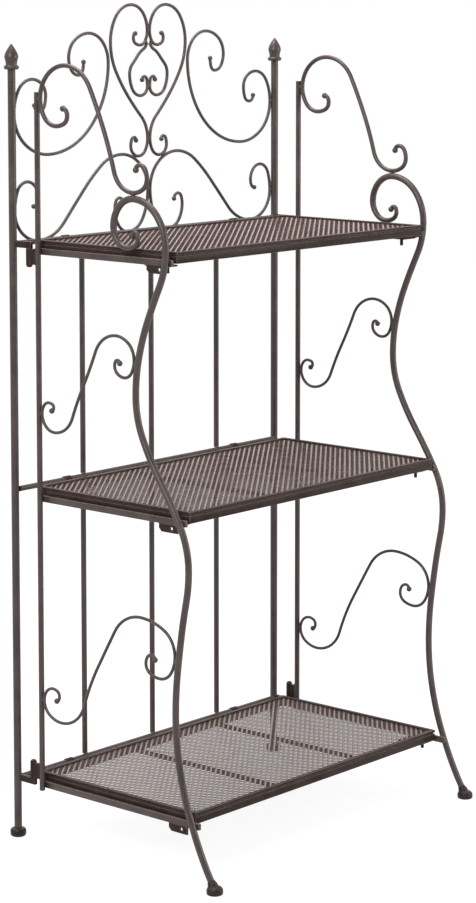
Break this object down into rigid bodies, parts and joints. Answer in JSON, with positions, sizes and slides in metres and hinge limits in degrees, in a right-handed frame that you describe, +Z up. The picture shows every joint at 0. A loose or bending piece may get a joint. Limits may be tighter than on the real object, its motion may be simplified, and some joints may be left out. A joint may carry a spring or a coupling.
{
  "type": "bakers_rack",
  "caption": "Folding wrought-iron bakers rack: scrolled crest and curled side frames in dark bronze coat, with wire-mesh shelves that hinge up",
  "frame": {"origin": "on the floor, midway between the left and right posts and between the front and back feet", "axes": "+Z up, front faces -Y, +X is the viewer's right from the front"},
  "size_m": [0.743, 0.506, 1.5008],
  "materials": {
    "frame_coat": "satin bronze-brown powder coat on steel rod and flat bar",
    "deck_coat": "satin bronze-brown powder coat on expanded steel sheet",
    "foot_coat": "satin bronze-brown powder coat on turned steel feet"
  },
  "bodies": {
    "back_frame": {"back_bar_centre": "frame_coat", "back_bar_left": "frame_coat", "back_bar_right": "frame_coat", "back_finial_left": "frame_coat", "back_finial_right": "frame_coat", "back_foot_left": "foot_coat", "back_foot_right": "foot_coat", "back_post_left": "frame_coat", "back_post_right": "frame_coat", "back_rail_bottom": "frame_coat", "back_rail_middle": "frame_coat", "back_rail_top": "frame_coat", "crest_heart_left": "frame_coat", "crest_heart_right": "frame_coat", "crest_lyre_left": "frame_coat", "crest_lyre_right": "frame_coat", "crest_scroll_left": "frame_coat", "crest_scroll_right": "frame_coat", "crest_wave_left": "frame_coat", "crest_wave_right": "frame_coat", "left_hinge_pins": "frame_coat", "right_hinge_pins": "frame_coat"},
    "left_side": {"left_front_foot": "foot_coat", "left_front_leg": "frame_coat", "left_hinge_barrels": "frame_coat", "left_latch_brackets": "frame_coat", "left_lower_scroll": "frame_coat", "left_middle_scroll": "frame_coat", "left_side_rail_bottom": "frame_coat", "left_side_rail_middle": "frame_coat", "left_side_rail_top": "frame_coat", "left_side_upright": "frame_coat", "left_top_scroll": "frame_coat"},
    "right_side": {"right_front_foot": "foot_coat", "right_front_leg": "frame_coat", "right_hinge_barrels": "frame_coat", "right_latch_brackets": "frame_coat", "right_lower_scroll": "frame_coat", "right_middle_scroll": "frame_coat", "right_side_rail_bottom": "frame_coat", "right_side_rail_middle": "frame_coat", "right_side_rail_top": "frame_coat", "right_side_upright": "frame_coat", "right_top_scroll": "frame_coat"},
    "top_shelf": {"top_shelf_braces": "frame_coat", "top_shelf_deck": "deck_coat", "top_shelf_hinge_loops": "frame_coat", "top_shelf_pegs": "frame_coat", "top_shelf_rim": "frame_coat"},
    "middle_shelf": {"middle_shelf_braces": "frame_coat", "middle_shelf_deck": "deck_coat", "middle_shelf_hinge_loops": "frame_coat", "middle_shelf_pegs": "frame_coat", "middle_shelf_rim": "frame_coat"},
    "bottom_shelf": {"bottom_shelf_braces": "frame_coat", "bottom_shelf_deck": "deck_coat", "bottom_shelf_hinge_loops": "frame_coat", "bottom_shelf_pegs": "frame_coat", "bottom_shelf_rim": "frame_coat"}
  },
  "joints": [
    {"name": "top_shelf_fold", "type": "hinge", "parent": "back_frame", "child": "top_shelf", "pos_m": [0, 0.2345, 1.079], "axis": [-1, 0, 0], "range_deg": [0, 82]},
    {"name": "middle_shelf_fold", "type": "hinge", "parent": "back_frame", "child": "middle_shelf", "pos_m": [0, 0.2345, 0.638], "axis": [-1, 0, 0], "range_deg": [0, 74]},
    {"name": "bottom_shelf_fold", "type": "hinge", "parent": "back_frame", "child": "bottom_shelf", "pos_m": [0, 0.2345, 0.1104], "axis": [-1, 0, 0], "range_deg": [0, 64]},
    {"name": "left_side_hinge", "type": "hinge", "parent": "back_frame", "child": "left_side", "pos_m": [-0.357, 0.1975, 0.6], "axis": [0, 0, 1], "range_deg": [-0.25, 0.25]},
    {"name": "right_side_hinge", "type": "hinge", "parent": "back_frame", "child": "right_side", "pos_m": [0.357, 0.1975, 0.6], "axis": [0, 0, 1], "range_deg": [-0.25, 0.25]}
  ]
}
